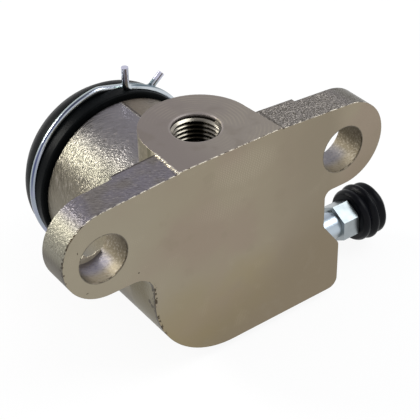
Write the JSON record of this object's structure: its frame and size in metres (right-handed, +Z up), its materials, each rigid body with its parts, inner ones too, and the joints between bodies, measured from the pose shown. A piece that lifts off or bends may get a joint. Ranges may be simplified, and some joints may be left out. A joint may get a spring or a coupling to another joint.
{
  "type": "wheel cylinder",
  "caption": "Brake wheel cylinder with a flat eared flange, a threaded inlet boss, a capped bleeder screw and a rubber dust boot held over the piston by a wire clip.",
  "frame": {"origin": "midway between the two mounting holes, on the flange's machined front face", "axes": "+X along the ears towards the bleeder, +Y from the flange along the bore, +Z up along the inlet port"},
  "size_m": [0.0873, 0.057, 0.0494],
  "materials": {
    "casting": "as cast, plated to a warm olive grey, with milled faces",
    "piston_metal": "turned",
    "seal_rubber": "smooth",
    "pressed_steel": "pressed",
    "spring_steel": "drawn wire",
    "boot_rubber": "smooth with a soft sheen",
    "clip_wire": "bright zinc plate",
    "plated_steel": "bright zinc plate",
    "cap_rubber": "smooth with a soft sheen"
  },
  "bodies": {
    "cylinder": {"housing": "casting", "return_spring": "spring_steel", "dust_boot": "boot_rubber", "boot_clip": "clip_wire"},
    "slug": {"piston": "piston_metal", "piston_cup": "seal_rubber", "cup_expander": "pressed_steel"},
    "bleeder": {"bleeder_screw": "plated_steel"},
    "cap": {"bleeder_cap": "cap_rubber"}
  },
  "joints": [
    {"name": "piston_slide", "type": "slide", "parent": "cylinder", "child": "slug", "axis": [0, 1, 0], "range_m": [-0.003, 0.008], "deforming": ["return_spring", "dust_boot"]},
    {"name": "bleeder_turn", "type": "hinge", "parent": "cylinder", "child": "bleeder", "pos_m": [0.029, 0.0107, -0.0294], "axis": [1, 0, 0], "range_deg": [0, 270]},
    {"name": "cap_pull", "type": "slide", "parent": "bleeder", "child": "cap", "axis": [1, 0, 0], "range_m": [0, 0.02]}
  ]
}
